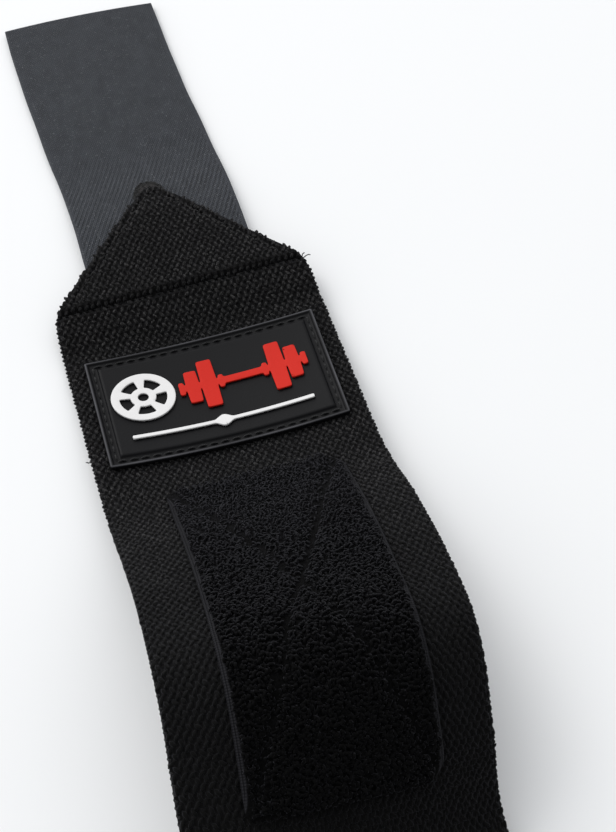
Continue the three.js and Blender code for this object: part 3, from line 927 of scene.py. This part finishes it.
def moulded(name, outlines, colour, node):
    """A flat raised shape. Every outline, the outer one anticlockwise and openings clockwise, gives
    rings that rise upright and then turn inwards over a quarter round; both faces are filled."""
    quarter = np.linspace(0, np.pi / 2, 4)
    inwards = np.concatenate([[0], motif_soft * (1 - np.cos(quarter))])
    heights = np.concatenate([[0], motif_height - motif_soft * (1 - np.sin(quarter))])
    outline = np.concatenate(outlines)
    after = next_on_ring(outlines)
    heading = np.concatenate([np.roll(ring, -1, 0) - np.roll(ring, 1, 0) for ring in outlines])
    heading /= np.linalg.norm(heading, axis=1, keepdims=True)
    normal = np.stack([-heading[:, 1], heading[:, 0]], 1)
    rings = outline[None] + normal[None] * inwards[:, None, None]
    number = np.arange(rings.shape[0] * rings.shape[1]).reshape(rings.shape[:2])
    walls = np.stack([number[:-1], number[:-1, after], number[1:, after], number[1:]], -1).reshape(-1, 4)
    inner, triangles = filled(outlines)
    inner_number = number.size + np.arange(len(inner))
    bottom = np.concatenate([number[0], inner_number])[triangles[:, ::-1]]
    top = np.concatenate([number[-1], inner_number + len(inner)])[triangles]
    flat = np.concatenate([rings.reshape(-1, 2), inner, inner])
    low = np.zeros(len(inner))
    height = motif_base + np.concatenate([np.repeat(heights, len(outline)), low, low + motif_height])
    side, up = flat.T
    bent = on_wrap(label_middle - up + label_lean * side, side + label_lean * up, height)
    raised = cloth_object(name, bent, [walls, bottom, top])
    raised.data.materials.append(colour)
    flatter = raised.modifiers.new("flat_faces", "WEIGHTED_NORMAL")
    flatter.weight = 80
    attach(raised, "root")
    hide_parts(node)


def bar_outline(length, centre, half_profile):
    """The outline of a bar that is the same above, below, left and right, from its (share of the
    length, half height) run from one end to the middle."""
    right = np.array(half_profile) * [length / 2, 1]
    above = np.concatenate([right, right[::-1] * [-1, 1]])
    return np.concatenate([above, above[::-1] * [1, -1]]) + centre


def arc(centre, radius, start, end, count):
    """Points along part of a circle."""
    angle = np.linspace(start, end, count)
    return np.stack([centre[0] + radius * np.cos(angle), centre[1] + radius * np.sin(angle)], 1)


red_rubber = rubber_finish("red_rubber", shade(184, 30, 20), shade(204, 44, 32), 0.55)
white_rubber = rubber_finish("white_rubber", shade(213, 212, 212), shade(228, 227, 227), 0.55)
barbell_length, barbell_centre = 36, (8.6, 3)
barbell = eased(bar_outline(barbell_length, barbell_centre, [
    (1, 2.3), (0.92, 2.3), (0.91, 1.2), (0.89, 1.2), (0.88, 5.8), (0.69, 5.8), (0.68, 1.2), (0.66, 1.2),
    (0.65, 8.6), (0.42, 8.6), (0.41, 1.2), (0.39, 1.2), (0.38, 2.3), (0.31, 2.3), (0.3, 1.2), (0.1, 1.2),
]), 0.7)
moulded("barbell_rubber", [barbell], red_rubber, "motif_barbell")

plate_centre, plate_radius, plate_spokes = (-19.4, 3), 8.8, 5
spoke_share, opening_outer, opening_inner, bore_share = 0.36, 0.74, 0.4, 0.17
sector = 2 * np.pi / plate_spokes
openings = []
for spoke in range(plate_spokes):
    start = np.pi / 2 + (spoke + spoke_share / 2) * sector
    end = start + (1 - spoke_share) * sector
    outer = arc(plate_centre, opening_outer * plate_radius, start, end, 8)
    inner = arc(plate_centre, opening_inner * plate_radius, end, start, 6)
    openings.append(eased(np.concatenate([outer, inner]), 0.5)[::-1])
plate_rim = arc(plate_centre, plate_radius, 0, 2 * np.pi, 73)[:-1]
plate_bore = arc(plate_centre, bore_share * plate_radius, 2 * np.pi, 0, 25)[:-1]
plate_outlines = [plate_rim, *openings, plate_bore]
moulded("weight_plate_rubber", plate_outlines, white_rubber, "motif_weight_plate")

rule_length, rule_centre = 50, (0, -11.6)
rule = eased(bar_outline(rule_length, rule_centre, [(1, 0.6), (0.1, 0.6), (0.02, 2)]), 0.4)
moulded("rule_rubber", [rule], white_rubber, "motif_rule")

# Loop patch: a 47 mm loop tape sewn on the band with a stitched frame and cross. Between its two smooth
# selvages stands a brushed pile of tiny curled loops, flattened where the stitches cross.
patch_width = 47
patch_length = 110
patch_start = seam_place + 72.5
patch_across = 0.9
patch_lean = np.radians(1.1)
patch_corner_left = 1.5
patch_corner_right = 7
patch_tape = 0.8
patch_rim = 0.6
patch_selvage = 1.8
pile_height = 1.2
pile_inset = 1.3
pile_gap = 0.9
thin_yarn = 0.19
thick_yarn = 0.43
cross_depth = 1.05
cross_width = 1.4
patch_end = patch_start + patch_length
patch_middle = (patch_start + patch_end) / 2


def from_cross(place, side):
    """Distance to the nearer diagonal of the patch's stitched frame."""
    half_long, half_wide = patch_length / 2 - patch_selvage, patch_width / 2 - patch_selvage
    u, v = (place - patch_middle) * half_wide, side * half_long
    return np.minimum(abs(u - v), abs(u + v)) / np.hypot(half_long, half_wide)


def lumps(place, side, seed):
    """Soft uneven ground: a sum of waves of seven lengths, each in three random directions."""
    chance = np.random.default_rng(seed)
    total = 0 * place + 0 * side
    for wave in (11.0, 7.3, 5.1, 3.7, 2.9, 2.3, 1.9):
        for heading in chance.uniform(0, 2 * np.pi, 3):
            run = place * np.cos(heading) + side * np.sin(heading)
            total = total + wave**0.5 * np.sin(2 * np.pi / wave * run + chance.uniform(0, 6.3))
    return total / 8


def pile_top(place, side):
    """Height of the pile over its tape: full, less the cross's dent, with soft lumps."""
    cross = cross_depth * dent(from_cross(place, side), cross_width)
    return pile_height - cross + 0.16 * lumps(place, side, 3)


def patch_over(place, inside, side):
    """Top of the patch: the tape, and between the selvages the ground at half the pile's height."""
    brushed = smooth_step(inside, patch_selvage - 0.4, patch_selvage + 0.5)
    return on_band + patch_tape + 0.55 * pile_top(place, side) * brushed


patch_left = rounded_half_width(patch_start, patch_end, patch_width, patch_corner_left)
patch_right = rounded_half_width(patch_start, patch_end, patch_width, patch_corner_right)
patch_margins = [0, 0.1, 0.3, 0.6, 1.0, 1.4, 1.8, 2.3, 3.0, 3.6]
patch_places = end_to_end(patch_start, patch_end, patch_margins, 4.4, 4.3, 0.8)
patch_points, patch_faces, patch_local = slab(
    patch_places, lambda place: (patch_left(place) + patch_right(place)) / 2, patch_margins, 56,
    on_band, patch_over, patch_rim,
    patch_across + (patch_right(patch_places) - patch_left(patch_places))[:, None] / 2, patch_lean,
)
patch = cloth_object("patch_tape", patch_points, patch_faces, patch_local)


def loop_tape_finish():
    """Black loop tape: satin selvages a little lighter than the dark brushed ground between them, and
    painted shade that darkens the ground along the patch.
    """
    tape = Finish("black_loop_tape")
    side, place, inside = tape.attribute("cloth")
    flat = tape.point(side, place, inside)
    selvage = tape.ramp(side.math("ABSOLUTE"), patch_width / 2 - 1.5, patch_width / 2 - 1.1)
    rib, weft = side.wave(0.7), place.wave(0.62)
    curl = tape.noise(flat, 1.5, 5.0, 0.7)
    clump = tape.noise(flat, 0.35, 3.0)
    # Painted shade: the brushed ground darkens along the patch from place 70 to 150.
    brushed = tape.ramp(curl + clump * 0.5, 0.55, 1.0) * tape.ramp(place, 70.0, 150.0, 1.0, 0.3)
    ground = tape.blend(brushed, shade(2, 2, 2), shade(26, 26, 28))
    colour = tape.blend(selvage, ground, tape.blend(rib * 0.15 + 0.4, shade(15, 15, 17), shade(38, 38, 42)))
    height = (curl * 1.4) * (1 - selvage) + (rib * 0.12 + weft * 0.08 + 0.5) * selvage
    return tape.done(colour, 0.95 - selvage * 0.35, height, 0.0006, {"Specular IOR Level": 0.08})


patch.data.materials.append(loop_tape_finish())
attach(patch, "root")
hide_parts("loop_patch")


def pile_loops(gap, seed):
    """Curled loops on a jittered grid that stops short of the edges: each an arch of random size and
    heading from the ground up to the pile's top, with its crown pushed aside."""
    chance = np.random.default_rng(seed)
    half_long, half_wide = patch_length / 2 - 0.3, patch_width / 2 - pile_inset
    grid = steps(-half_long, half_long, gap), steps(-half_wide, half_wide, gap)
    place, side = np.meshgrid(*grid, indexing="ij")
    place = (place + gap * chance.uniform(0.1, 0.9, place.shape)).ravel()
    side = (side + gap * chance.uniform(0.1, 0.9, side.shape)).ravel()
    left, right = patch_left(place + patch_middle), patch_right(place + patch_middle)
    kept = (side > pile_inset - left) & (side < right - pile_inset)
    kept &= from_cross(place + patch_middle, side) > 0.55 + 0.5 * lumps(place, side, 8)
    place, side = place[kept, None], side[kept, None]
    count = len(place)
    heading = chance.uniform(0, 2 * np.pi, (count, 1))
    reach = chance.uniform(0.35, 0.85, (count, 1))
    push = chance.normal(0, 0.35, (count, 1))
    top = pile_top(place + patch_middle, side)
    share = np.linspace(0, 1, 6)[None]
    out = reach * (2 * share - 1) * (1 + 0.35 * np.sin(np.pi * share))
    aside = push * np.sin(np.pi * share)
    rise = top * (0.35 + 0.65 * np.sin(np.pi * share) * chance.uniform(0.75, 1.25, (count, 1)))
    local_place, local_side = turned_from(place, side, heading, out, aside)
    return np.stack([
        patch_middle + local_place + patch_lean * local_side,
        patch_across + local_side - patch_lean * local_place,
        on_band + patch_tape + rise,
    ], -1)


pile_paths = pile_loops(pile_gap, 21)
worn_in = smooth_step(pile_paths[:, 0, 0], patch_start + 15, patch_end - 15)
pile_radius = thin_yarn + (thick_yarn - thin_yarn) * worn_in
pile = threads("patch_pile", pile_paths, pile_radius, 3, standing=True)
pile_yarn = Finish("pile_yarn")
pile_side, pile_place, pile_chance = pile_yarn.attribute("cloth")
pile_flat = pile_yarn.point(pile_side, pile_place, 0.0)
pile_clump = pile_yarn.noise(pile_flat, 0.4, 3.0)
# Each loop's own tone and clumps, with painted shade that darkens them along the patch from place 75 to 155.
pile_tone_and_slope_shade = (pile_chance * 0.5 + pile_clump * 0.5) * pile_yarn.ramp(pile_place, 75.0, 155.0, 1.55, 0.08)
pile.data.materials.append(pile_yarn.done(
    pile_yarn.blend(pile_tone_and_slope_shade, shade(1, 1, 1), shade(39, 39, 42)), pile_clump * 0.2 + 0.7,
    pile_yarn.noise(pile_flat, 12.0), 0.0001, nap(0.2, 0.3, 0.06, shade(150, 150, 160)),
))
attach(pile, "root")

# Floor and light: the wrap lies on a large near-white table, under one wide soft light from the far
# left. The pale room round it is brightest behind and to the left of the wrap.
floor_mesh = bpy.data.meshes.new("floor")
far = 6.0
floor_corners = [(-far, -far, 0), (far, -far, 0), (far, far, 0), (-far, far, 0)]
floor_mesh.from_pydata(floor_corners, [], [(0, 1, 2, 3)])
floor = bpy.data.objects.new("floor", floor_mesh)
bpy.context.scene.collection.objects.link(floor)
table_top = Finish("pale_table")
table_cloud = table_top.noise(table_top.place(), 3.0, 2.0)
floor_mesh.materials.append(table_top.done(
    table_top.blend(table_cloud, (0.825, 0.832, 0.842, 1), (0.85, 0.855, 0.864, 1)), table_cloud * 0.05 + 0.6,
    table_top.noise(table_top.place(), 900.0), 0.00001, {"Specular IOR Level": 0.3},
))

bright_side = (-0.4, 0.73, 0.54)
pale_air = (0.976, 0.988, 1.0, 1)
room = Finish("pale_room", "worlds")
outwards = room.node("ShaderNodeTexCoord", output="Generated")
sockets = {0: outwards, 1: bright_side}
facing = room.node("ShaderNodeVectorMath", {"operation": "DOT_PRODUCT"}, sockets, "Value")
strength_range = {"From Min": -0.6, "From Max": 0.9, "To Min": 0.27, "To Max": 1.28}
strength = room.node("ShaderNodeMapRange", None, {"Value": facing, **strength_range})
shell = room.node("ShaderNodeBackground", None, {"Color": pale_air, "Strength": strength})
room.node("ShaderNodeOutputWorld", None, {"Surface": shell})
bpy.context.scene.world = room.owner


def stood(name, data, spot, right, up, back):
    """Puts a lamp or camera at a spot in metres, with its own three axes turned to right, up and back."""
    turn = np.eye(4)
    turn[:3] = np.stack([right, up, back, spot], 1)
    thing = bpy.data.objects.new(name, data)
    thing.matrix_world = Matrix(turn.tolist())
    bpy.context.scene.collection.objects.link(thing)
    return thing


window_place = np.array([-1.4, 2.5, 2.4])
window_target = np.array([0, 0.02, 0])
window = bpy.data.lights.new("window_light", "AREA")
window.shape = "SQUARE"
window.size = 2.2
window.energy = 57
window.color = (1.0, 0.987, 0.968)
window_back = (window_place - window_target) / np.linalg.norm(window_place - window_target)
window_right = np.cross([0, 0, 1], window_back)
window_right /= np.linalg.norm(window_right)
stood("window_light", window, window_place, window_right, np.cross(window_back, window_right), window_back)

# Camera: it looks down along the wrap from above its free end, as the photograph does, and a little
# askew. Its place is measured in millimetres from the middle of the seam.
camera_place = np.array([-56.685, -332.902, 391.16])
camera_down = np.radians(53.16)
camera_heading = np.radians(15.68)
camera_roll = -0.0203
focal_pixels = 1790.84
frame_pixels = 616
sensor_width = 36
cos_down, sin_down = np.cos(camera_down), np.sin(camera_down)
forward = np.array([np.sin(camera_heading) * cos_down, np.cos(camera_heading) * cos_down, -sin_down])
rightward = np.array([np.cos(camera_heading), -np.sin(camera_heading), 0])
upward = np.cross(rightward, forward)
rolled_right = np.cos(camera_roll) * rightward + np.sin(camera_roll) * upward
rolled_up = np.cos(camera_roll) * upward - np.sin(camera_roll) * rightward
seam_middle = on_wrap(0.0, 0.0, 0.0) * [1, 1, 0]
camera_spot = (camera_place + seam_middle + to_frame) / 1000
lens = bpy.data.cameras.new("camera")
lens.sensor_fit = "HORIZONTAL"
lens.sensor_width = sensor_width
lens.lens = focal_pixels / frame_pixels * sensor_width
lens.clip_start = 0.01
bpy.context.scene.camera = stood("camera", lens, camera_spot, rolled_right, rolled_up, -forward)
bpy.context.scene.view_settings.view_transform = "Standard"
